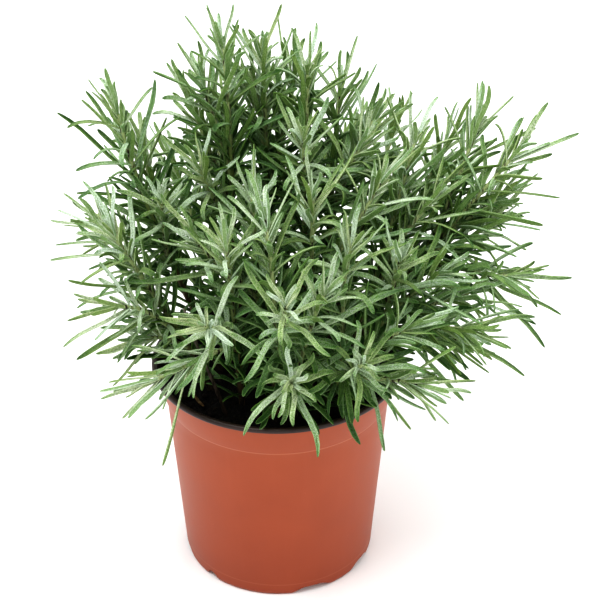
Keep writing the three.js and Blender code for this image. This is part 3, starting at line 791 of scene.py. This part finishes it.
standing = Runs()
print("a run 3 mm above another:", run_gap(0 * UP, UP[::-1], 3 * UP, 3 * UP + (0, 1, 0)), "mm")

# %% [markdown]
# Each stem tries to go straight to its tip. If it would meet another branch it bows to one
# side, a little more each time, and keeps the bow that leaves the most room.

# %% Lay out the stems
stems = []
for branch, (root, shoots) in enumerate(BRANCHES):
    own, main = [], None
    for index, shoot in enumerate(shoots):
        radii = MAIN_RADIUS if index == 0 else SIDE_RADIUS
        if index == 0:
            start = np.array([*root, soil_height(*root) - PLANTED_DEPTH], float)
            heading = None
        else:
            start = point_on(main, shoot[5])
            heading = unit(heading_on(main, shoot[5]) * 0.35 + unit(np.array(shoot[:3], float) - start))
        best = None
        for bow in BOWS:
            curve = stem_curve(shoot, start, heading, bow)
            spare = standing.spare(*stem_runs(curve, radii))
            if best is None or spare > best[0] + 0.01:
                best = (spare, curve)
            if spare > STEM_KEEP:
                break
        if index == 0:
            main = best[1]
        own.append({"branch": branch, "index": index, "shoot": shoot, "radii": radii, "curve": best[1]})
    for stem in own:
        standing.add(*stem_runs(stem["curve"], stem["radii"]), branch)
    stems += own
print("stems:", len(stems), " runs:", len(standing.radius))

# %% [markdown]
# One dry twig stands at the left, where a shoot died back. It is laid out before the leaves.

# %% The dry twig's curve
TWIG_ROOT, TWIG_TIP, TWIG_RADIUS = (-22, -27), (-40, -36, 156.0), (1.0, 0.5)
twig_start = np.array([*TWIG_ROOT, soil_height(*TWIG_ROOT) - PLANTED_DEPTH])
twig_tip = np.array(TWIG_TIP)
twig_curve = np.array([
    twig_start, twig_start * 0.65 + twig_tip * 0.35 + (2, 1, 0),
    twig_start * 0.3 + twig_tip * 0.7 + (-2, 0, 0), twig_tip,
])
standing.add(*stem_runs(twig_curve, TWIG_RADIUS), -1)
print("twig rises to", twig_tip[2], "mm")

# %% [markdown]
# A leaf starts on the stem, leaves it at an angle that opens with age, and then curves. A few
# numbers say it all, so a leaf is planned as numbers first and turned into a surface later.

# %% Planning leaves
LEAF_LENGTH, LEAF_WIDTH = 34, 2.8
LEAN, LEAN_SPREAD = (8, 50), 11  # degrees away from the stem, at the tip and once grown
YOUNG_SIZE, YOUNG_WIDTH, SIZE_SPREAD = 0.5, 0.72, (0.82, 1.18)
CURL, SWAY, DROOP = (-0.34, 0.24), 0.14, (0.06, 0.3)  # bends, as shares of the length
TWIST = 0.8
YOUNG_ZONE, OLD_ZONE, GREEN_ZONE = 20, 60, 78  # distances from the tip
FIRST_PAIR, PAIR_STEP, OLD_GAP = 1.5, (6, 10.6), 2
PAIR_TURN, TURN_SPREAD, STEM_TURN = 90, 14, 31
LEAFY_STRETCH, LEAFY_MOST = (1.4, 1.1), 0.86
# Small changes of turn, lean and size, tried until a leaf stands clear of the other branches.
TWEAKS = [
    (0, 0, 1), (16, 0, 1), (-16, 0, 1), (0, -16, 1), (0, 14, 0.95), (26, -8, 0.85), (-26, 8, 0.85),
    (8, 0, 0.7), (-12, -18, 0.62),
]


def clamp(value):
    return min(1, max(0, value))


def leaf_plan(stem, from_tip, turn, seed_a, seed_b, lean_more=0, size_by=1):
    length = stem["length"]
    t = clamp(1 - from_tip / length)
    along = heading_on(stem["curve"], t)
    reference = np.array([1.0, 0, 0]) if abs(along[2]) > 0.96 else UP
    across = unit(np.cross(reference, along))
    over = np.cross(along, across)
    grown = clamp(from_tip / YOUNG_ZONE)
    chance = mix(-LEAN_SPREAD, LEAN_SPREAD, scatter(seed_a, seed_b + 1))
    lean = math.radians(mix(*LEAN, math.sqrt(grown)) + chance + lean_more)
    outward = across * math.cos(turn) + over * math.sin(turn)
    heading = along * math.cos(lean) + outward * math.sin(lean)
    size = mix(YOUNG_SIZE, 1, math.sqrt(grown)) * mix(*SIZE_SPREAD, scatter(seed_a, seed_b + 2)) * size_by
    bend = (along * mix(*CURL, scatter(seed_a, seed_b + 3))
            + unit(np.cross(along, heading)) * mix(-SWAY, SWAY, scatter(seed_a + 1, seed_b + 3))
            - UP * mix(*DROOP, scatter(seed_a + 2, seed_b + 3)) * grown)
    return {
        "start": point_on(stem["curve"], t), "along": along, "heading": heading, "bend": bend,
        "reach": LEAF_LENGTH * size, "width": LEAF_WIDTH * mix(YOUNG_WIDTH, 1, grown),
        "twist": mix(-TWIST, TWIST, scatter(seed_a + 3, seed_b + 2)),
        "age": min(1, from_tip / GREEN_ZONE + stem["hardened"]), "tone": scatter(seed_a + 7, seed_b + 4),
    }


def leaf_line(plan, share):
    share = np.asarray(share, float)[..., None]
    reach = plan["reach"]
    return plan["start"] + plan["heading"] * reach * share + plan["bend"] * reach * share ** 2


def leaf_runs(plan):
    points = leaf_line(plan, [0.12, 0.4, 0.72, 1])
    return points[:-1], points[1:], plan["width"] / 2 * np.array([0.9, 1, 0.75])


def greening_and_painted_shade(tip, chance):
    """How much further than others a shoot has greened (the high ones), plus painted shade on low right ones.
    """
    shade_low_down, in_shade = clamp((205 - tip[2]) / 35), clamp(tip[0] / 80)
    # The low shoots on the right get painted shade: their leaves are made older and darker.
    return 0.14 * high_up(tip) + 0.2 * (shade_low_down * in_shade) + mix(0, 0.14, chance)


def high_up(tip):
    return clamp((tip[2] - 200) / 30)


print("a grown leaf:", LEAF_LENGTH, "mm long,", LEAF_WIDTH, "mm wide")

# %% Leaf pairs along every stem
leaves = [[] for _ in BRANCHES]
for number, stem in enumerate(stems):
    stem["length"] = curve_length(stem["curve"])
    stem["hardened"] = greening_and_painted_shade(stem["shoot"], scatter(number, 9))
    stretch = LEAFY_STRETCH[min(stem["index"], 1)]
    stem["leafy"] = min(stem["shoot"][4] * stretch, stem["length"] * LEAFY_MOST)
    from_tip, pair = FIRST_PAIR, 0
    while from_tip < stem["leafy"]:
        for face in (0, 1):
            seed_a, seed_b = number * 3 + face, pair * 5
            chance = mix(-TURN_SPREAD, TURN_SPREAD, scatter(seed_a, seed_b))
            base = pair * PAIR_TURN + face * 180 + chance + number * STEM_TURN
            for more, lean_more, size_by in TWEAKS:
                turn = math.radians(base + more)
                plan = leaf_plan(stem, from_tip, turn, seed_a, seed_b, lean_more, size_by)
                a, b, thick = leaf_runs(plan)
                if clear_of_pot(a, b, thick) and standing.spare(a, b, thick, stem["branch"]) > 0:
                    leaves[stem["branch"]].append(plan)
                    standing.add(a, b, thick, stem["branch"])
                    break
        from_tip += mix(*PAIR_STEP, clamp(from_tip / YOUNG_ZONE)) + (OLD_GAP if from_tip > OLD_ZONE else 0)
        pair += 1
print("leaf pairs laid out:", sum(len(each) for each in leaves), "leaves")

# %% [markdown]
# Look closely at rosemary and there are more leaves than that: short shoots in the leaf
# axils put out tufts of smaller leaves, and each tip ends in a tight silvery bud. They fill
# the gaps between the pairs. They are thin and soft, so they only have to miss the pot.

# %% Axil tufts and tip buds
TUFT_START, TUFT_STEP, TUFT_STAGGER = 0.3, (2.0, 4.2), 1.2
TUFT_BELOW, TUFT_MOST = 18, 0.9  # tufts go on a little below the last pair
TUFT_LEAN, TUFT_SIZE, TUFT_WIDTH, TUFT_BEND = (-4, -16), (0.38, 1.0), 0.86, 1.35
TUFT_SPREAD, TOP_GROWTH = 22, 0.25
TUFT_KEEP, TUFT_THICK = 0.3, 0.8  # soft leaves may come nearer to the pot


def tuft_leaf(stem, from_tip, turn, seed_a, seed_b, grown):
    size = mix(*TUFT_SIZE, scatter(seed_a, seed_b + 6)) * (1 + TOP_GROWTH * high_up(stem["shoot"]) * grown)
    plan = leaf_plan(stem, from_tip, turn, seed_a, seed_b, mix(*TUFT_LEAN, grown), size)
    plan["width"] *= TUFT_WIDTH
    plan["bend"] = plan["bend"] * TUFT_BEND
    return plan


for number, stem in enumerate(stems):
    from_tip, pair = TUFT_START, 0
    while from_tip < min(stem["leafy"] + TUFT_BELOW, stem["length"] * TUFT_MOST):
        grown = clamp(from_tip / YOUNG_ZONE)
        for face in (0, 1):
            seed_a, seed_b = 400 + number * 3 + face, pair * 7
            chance = mix(-TUFT_SPREAD, TUFT_SPREAD, scatter(seed_a, seed_b))
            turn = math.radians(45 + pair * PAIR_TURN + face * 180 + chance + number * STEM_TURN)
            plan = tuft_leaf(stem, from_tip + TUFT_STAGGER * face, turn, seed_a, seed_b, grown)
            a, b, thick = leaf_runs(plan)
            if clear_of_pot(a, b, thick * TUFT_THICK, TUFT_KEEP):
                leaves[stem["branch"]].append(plan)
        from_tip += mix(*TUFT_STEP, grown)
        pair += 1
print("with tufts and buds:", sum(len(each) for each in leaves), "leaves")

# %% [markdown]
# ## Tubes with a tip
#
# A stem and a leaf are both rows of points that end in a tip, so they share two helpers: one
# joins the rows up, the other lays them flat as a strip of the UV map.

# %% Faces and map of a tube with a tip
def tube_faces(rows, around):
    last = (rows - 1) * around
    return grid_faces(rows, around) + [
        [last + i, last + (i + 1) % around, rows * around] for i in range(around)]


def tube_unwrap(rows, around, low, high):
    width, height = high[0] - low[0], (high[1] - low[1]) * (rows - 1) / rows
    u = low[0] + width * np.arange(around) / around
    step, v = width / around, low[1] + height + 0 * u
    tips = np.stack([u, v, u + step, v, u + step / 2, 0 * u + high[1]], axis=1)
    return np.concatenate([grid_unwrap(rows, around, low, (high[0], v[0])), tips.reshape(-1, 2)])


print("a tube of 3 rows and 6 columns has", len(tube_faces(3, 6)), "faces")

# %% [markdown]
# ## The surface of a leaf
#
# A rosemary leaf is a needle only from afar. Its edges roll down and under, a groove runs
# along its top and a pale, felted midrib shows beneath. Twelve points round each of nine
# cross-sections give that shape. All leaves share one layout of points, so NumPy can shape a
# whole branch's leaves in one go.

# %% Cross-section and outline of a leaf
SECTION = np.array([
    (1.0, -0.16), (0.88, 0.18), (0.46, 0.33), (0.0, 0.12), (-0.46, 0.33), (-0.88, 0.18), (-1.0, -0.16),
    (-0.76, -0.46), (-0.48, -0.26), (0.0, -0.40), (0.48, -0.26), (0.76, -0.46),
])
TOP_FACE = np.array([0.9, 1, 1, 1, 1, 1, 0.9, 0.7, 0, 0.4, 0, 0.7])
# Pale at the rolled edges; the groove on top (0) gets painted shade.
PALENESS = np.array([0.9, 0.72, 0.5, 0, 0.5, 0.72, 0.9, 0.35, 0.8, 0.3, 0.8, 0.35])
STATIONS = np.array([0.0, 0.07, 0.2, 0.38, 0.57, 0.75, 0.88, 0.955, 0.99])
FULLNESS = np.array([0.42, 0.58, 0.84, 0.97, 1.0, 0.97, 0.86, 0.62, 0.3])
WAVER, RIPPLE = 0.05, 0.05  # of its middle line and of its edges
TIP_WEAR, BASE_YOUTH = 0.5, 0.14  # a leaf ages from its tip
ROWS, COLUMNS = len(STATIONS), len(SECTION)


def leaf_surfaces(plans):
    """Points of every leaf, ordered leaf, station, section, and last its tip."""
    def column(key):
        return np.array([plan[key] for plan in plans], float)

    start, along, heading = column("start"), column("along"), column("heading")
    reach, bend = column("reach")[:, None, None], column("bend")[:, None]
    shares = np.append(STATIONS, 1.0)[None, :, None]
    line = start[:, None] + heading[:, None] * reach * shares + bend * reach * shares ** 2
    ahead = unit(heading[:, None] + 2 * bend * shares)
    sideways = unit(np.cross(along, heading))[:, None] + 0 * ahead
    waver = WAVER * np.sin(column("tone") * 50)[:, None, None] * np.sin(2 * math.pi * shares) * shares
    line = line + sideways * reach * waver
    above = np.cross(ahead, sideways)
    twist = column("twist")[:, None] * shares[..., 0]
    turned = sideways * np.cos(twist)[..., None] + above * np.sin(twist)[..., None]
    above = above * np.cos(twist)[..., None] - sideways * np.sin(twist)[..., None]
    half = column("width")[:, None] / 2 * FULLNESS[None]
    ripple = 1 + RIPPLE * np.sin(STATIONS[None] * 17 + column("tone")[:, None] * 40)
    across = (half * ripple)[..., None, None] * SECTION[:, 0][None, None, :, None] * turned[:, :-1, None]
    thick = (column("width")[:, None] / 2 * (0.35 + 0.65 * FULLNESS[None]))[..., None, None]
    upward = thick * SECTION[:, 1][None, None, :, None] * above[:, :-1, None]
    skin = line[:, :-1, None] + across + upward
    return np.concatenate([skin.reshape(len(plans), -1, 3), line[:, -1:]], axis=1)


def leaf_marks(plans):
    """The "grown" colours: age, painted shade of the groove to pale edge, tone of this leaf, top or
    underside.
    """
    marks = np.zeros((len(plans), ROWS * COLUMNS + 1, 4))
    share = np.append(np.repeat(STATIONS, COLUMNS), 1.0)
    wear = TIP_WEAR * share ** 6 - BASE_YOUTH * (1 - share) ** 2
    marks[..., 0] = np.clip(np.array([plan["age"] for plan in plans])[:, None] + wear, 0, 1)
    marks[:, :-1, 1] = np.tile(PALENESS, ROWS)
    marks[..., 2] = np.array([plan["tone"] for plan in plans])[:, None]
    marks[:, :-1, 3] = np.tile(TOP_FACE, ROWS)
    marks[:, -1, 1], marks[:, -1, 3] = 0.6, 0.8
    return marks


LEAF_FACES = tube_faces(ROWS, COLUMNS)
print("one leaf:", len(LEAF_FACES), "faces")

# %% [markdown]
# Each leaf needs a place of its own on the UV map. The map is cut into equal cells, as on a
# sheet of stamps, and every leaf is laid flat in one cell.

# %% Unwrapping leaves
def cell_corners(count, bottom, shape=3.6):
    """Low corners and size of `count` cells that fill the map above `bottom`."""
    columns = math.ceil(math.sqrt(count * shape * (1 - bottom)))
    rows = math.ceil(count / columns)
    index = np.arange(count)
    low = np.stack([(index % columns) / columns, bottom + (index // columns) / rows * (1 - bottom)], axis=1)
    return low, np.array([1 / columns, (1 - bottom) / rows])


def leaf_unwrap(count, bottom):
    low, size = cell_corners(count, bottom)
    local = tube_unwrap(ROWS, COLUMNS, (0, 0), (1, 1)) * 0.9 + 0.05
    return low[:, None] + local[None] * size


print("cells for 100 leaves:", cell_corners(100, 0.1)[1].round(3))

# %% [markdown]
# ## Leaf and bark finishes
#
# Young rosemary is covered in fine white hairs, which turn it silvery; they rub off with age
# and the leaf shows deep green, with a paler rolled edge. The underside stays felted and
# white. The "grown" colours drive all of this, and noise adds mottling and the felt's grain.
# A darker line along the groove on top is painted shade.

# %% Leaf finish
# From a bud to an old leaf.
LEAF_AGES = [(0.0, shade(196, 214, 172)), (0.14, shade(172, 196, 142)), (0.36, shade(124, 162, 80)),
             (0.7, shade(70, 117, 23)), (1.0, shade(36, 81, 6))]


def leaf_finish():
    made = Finish("rosemary_leaf", 0.5)
    made.shader.inputs["Specular IOR Level"].default_value = 0.3
    age, paleness, tone, top = made.grown()
    mottle = made.noise(240, 4)
    felt = made.noise(2400, 3)
    aged = made.jitter(age, tone)
    body = made.ramp(aged, LEAF_AGES)
    dark = made.mix(0.5, body, shade(20, 58, 4))
    body = made.mix(made.levels(mottle, [(0.35, 0.2), (0.65, 1)]), dark, body)
    # Painted shade: the groove along the top is darkened.
    groove = made.levels(paleness, [(0.0, 0.46), (0.42, 0)])
    body = made.mix(groove, body, shade(26, 66, 8))
    pale = made.mix(aged, shade(226, 236, 208), shade(140, 182, 92))
    margin = made.levels(paleness, [(0.55, 0), (0.95, 0.5)])
    body = made.mix(margin, body, pale)
    hairs = made.levels(felt, [(0.42, 0), (0.6, 1)])
    youth = made.levels(aged, [(0.0, 0.85), (0.2, 0.62), (0.5, 0.28), (1.0, 0.05)])
    hair_cover = made.mix(1.0, hairs, youth, "MULTIPLY")
    body = made.mix(hair_cover, body, shade(240, 244, 234))
    under = made.mix(made.levels(felt, [(0.4, 0), (0.7, 1)]), shade(112, 146, 76), shade(176, 200, 144))
    body = made.mix(top, under, body)
    hue = made.ramp(tone, [(0.0, (0.90, 0.97, 1.0)), (0.5, (0.97, 0.98, 0.97)), (1.0, (1.0, 0.96, 0.80))])
    body = made.mix(1.0, body, hue, "MULTIPLY")
    made.bump(made.sums("ADD", mottle, made.sums("MULTIPLY", felt, 0.6)), 0.35, 0.00025)
    return made.colour(body)


def bark_finish(name, young, green, brown):
    made = Finish(name, 0.75)
    age, *_ = made.grown()
    cracks = made.noise(700, 5, (1, 1, 0.22))
    ages = [(0.0, young), (0.4, green), (0.62, brown), (1.0, shade(70, 54, 42))]
    base = made.ramp(made.jitter(age, cracks), ages)
    base = made.mix(made.levels(cracks, [(0.36, 1), (0.52, 0)]), base, shade(44, 34, 24))
    made.bump(cracks, 0.6, 0.0005)
    return made.colour(base)


LEAF = leaf_finish()
BARK = bark_finish("rosemary_stem", shade(186, 198, 148), shade(122, 138, 78), shade(104, 88, 62))
DRY_BARK = bark_finish("dry_twig_bark", shade(126, 120, 108), shade(112, 104, 92), shade(96, 86, 74))
print("leaf and bark finishes are ready")

# %% [markdown]
# ## Stems
#
# A stem is a tube round its curve, swollen a little at even steps, where old leaves stood.
# Curve objects with a bevel make tubes too, but those would have to be turned into meshes
# before they could share a piece with the leaves.

# %% Tubes round a curve
KNOT_STEP = 5.3


def tube(curve, radii, rows, around, seed, knots, taper):
    t = np.linspace(0, 1, rows)
    centre, ahead = point_on(curve, t), heading_on(curve, t)
    across = np.zeros_like(ahead)
    first = np.cross(np.array([1.0, 0, 0]) if abs(ahead[0][2]) > 0.96 else UP, ahead[0])
    for i in range(rows):
        first = unit(first - ahead[i] * (first @ ahead[i]))
        across[i] = first
    over = np.cross(ahead, across)
    turn = np.arange(around) / around * 2 * np.pi
    beat = np.sin(t * curve_length(curve) / KNOT_STEP * np.pi + seed)
    thick = mix(*radii, t) * (1 + knots * np.maximum(0, beat) ** 4)
    thick[-1] *= taper
    ring = across[:, None] * np.cos(turn)[None, :, None] + over[:, None] * np.sin(turn)[None, :, None]
    rough = 1 + 0.06 * lumps((centre[:, None] + ring).reshape(-1, 3), 2.2, seed + 90, 5)
    skin = centre[:, None] + ring * (thick[:, None] * rough.reshape(rows, around))[..., None]
    return np.concatenate([skin.reshape(-1, 3), centre[-1:] + ahead[-1:] * thick[-1] * 0.6])


short_curve = np.array([0 * UP, UP, 2 * UP, 3 * UP])
print("a short tube:", len(tube(short_curve, (1, 1), 3, 6, 0, 0, 1)), "points")

# %% [markdown]
# ## The branches
#
# Now every branch is put together: its stems first, then all its leaves. A strip along the
# bottom of the map is for the stems, which are long and narrow, and the rest for the leaves.

# %% Grow every branch
STEM_ROWS, STEM_AROUND, STEM_SHARE = 44, 9, 0.14
BARK_AGES = (150, 190)  # how far down from its tip a main stem, or a side stem, is old wood


def grow(branch):
    heap = Heap()
    own = [stem for stem in stems if stem["branch"] == branch]
    for i, stem in enumerate(own):
        low, high = (i / len(own) + 0.01, 0.005), ((i + 1) / len(own) - 0.01, STEM_SHARE - 0.01)
        from_tip = (1 - np.linspace(0, 1, STEM_ROWS)) * stem["length"]
        marks = np.zeros((STEM_ROWS * STEM_AROUND + 1, 4))
        marks[:-1, 0] = np.repeat(np.clip(from_tip / BARK_AGES[min(stem["index"], 1)], 0, 1), STEM_AROUND)
        heap.add(tube(stem["curve"], stem["radii"], STEM_ROWS, STEM_AROUND, branch * 5 + i, 0.16, 0.6),
                 tube_faces(STEM_ROWS, STEM_AROUND), tube_unwrap(STEM_ROWS, STEM_AROUND, low, high), marks, 1)
    plans = leaves[branch]
    unwraps = leaf_unwrap(len(plans), STEM_SHARE)
    for skin, unwrap, marks in zip(leaf_surfaces(plans), unwraps, leaf_marks(plans)):
        heap.add(skin, LEAF_FACES, unwrap, marks)
    return heap.make(f"rosemary_branch_{branch + 1:02d}", [LEAF, BARK])


worst = 0
for branch in range(len(BRANCHES)):
    piece = grow(branch)
    node = f"branch_{branch + 1:02d}"
    settle(piece, "rosemary", node)
    solid = np.array([list(corner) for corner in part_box(node)])
    co = np.empty(len(piece.data.vertices) * 3)
    piece.data.vertices.foreach_get("co", co)
    co = co.reshape(-1, 3)
    apart = np.abs(np.array([co.min(0), co.max(0)]) - solid).max() / MM
    worst = max(worst, apart)
    print(node, len(leaves[branch]), "leaves, off its solid by", round(apart, 1), "mm")
print("largest difference from a solid:", round(worst, 1), "mm")

# %% [markdown]
# ## The dry twig and fallen leaves
#
# What has died stays on: a grey twig with stubs where its leaves were, and dry leaves curled
# up on the compost. They are built like the living ones, with greyer bark and tighter curls.

# %% Dry twig
TWIG_ROWS, TWIG_AROUND, STUBS, STUB_ROWS = 60, 9, 7, 6


def add_twig_part(curve, radii, rows, around, seed, knots, taper, low, high):
    points = tube(curve, radii, rows, around, seed, knots, taper)
    marks = np.zeros((len(points), 4))
    marks[:, 0] = np.clip(1 - (points[:, 2] - 90) / 90, 0, 1)
    twig_heap.add(points, tube_faces(rows, around), tube_unwrap(rows, around, low, high), marks)


twig_heap = Heap()
add_twig_part(twig_curve, TWIG_RADIUS, TWIG_ROWS, TWIG_AROUND, 77, 0.35, 0.5, (0.02, 0.02), (0.48, 0.98))
for i in range(STUBS):
    t = 0.42 + 0.075 * i
    base, ahead = point_on(twig_curve, t), heading_on(twig_curve, t)
    turn, left = i * 2.2, 0.52 + 0.06 * i
    out = unit(np.array([math.cos(turn), math.sin(turn), 0.5]))
    stub = np.array([base, base + out * 0.7, base + out * 1.5, base + out * 2.1 + ahead * 0.6])
    add_twig_part(stub, (0.4, 0.2), STUB_ROWS, STUB_ROWS, 80 + i, 0, 0.7, (left, 0.02), (left + 0.05, 0.3))
twig = twig_heap.make("dry_twig", [DRY_BARK])
settle(twig, "dry_wood", "dead_twig")
print("dry twig:", len(twig.data.polygons), "faces")

# %% Fallen leaves
WITHERED = [(0.3, shade(92, 70, 44)), (0.55, shade(134, 108, 72)), (0.75, shade(158, 136, 98))]
DRY_LEAF = grainy_finish("dry_leaf", 0.8, 500, WITHERED, 0.5, 0.0003)
FALLEN = [(-8, -36, 35), (-34, -24, 120), (16, 40, 200)]  # x, y and direction
DRY_LIFT, DRY_LENGTH, DRY_WIDTH, DRY_ARCH, DRY_TWIST = 2.2, 15.0, 2.2, 0.06, 1.4
for index, (x, y, turn) in enumerate(FALLEN, start=1):
    heading = np.array([math.cos(math.radians(turn)), math.sin(math.radians(turn)), 0])
    plan = {
        "start": np.array([x, y, soil_height(x, y) + DRY_LIFT]), "along": UP, "heading": heading,
        "bend": UP * DRY_ARCH, "reach": DRY_LENGTH, "width": DRY_WIDTH, "twist": DRY_TWIST,
        "age": 1.0, "tone": index / len(FALLEN),
    }
    heap = Heap()
    heap.add(leaf_surfaces([plan])[0], LEAF_FACES, leaf_unwrap(1, 0)[0])
    fallen = heap.make(f"fallen_leaf_{index}", [DRY_LEAF])
    settle(fallen, "dry_wood", f"dry_leaf_{index}")
print("fallen leaves:", len(FALLEN))

# %% [markdown]
# ## Check the size
#
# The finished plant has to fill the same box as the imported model, so both boxes are kept.

# %% Compare and finish
finished_size = [list(corner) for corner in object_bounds()]
grew = (np.array(finished_size) - np.array(packed_size)) / MM
print("finished minus packed, mm:", grew.round(1).tolist())
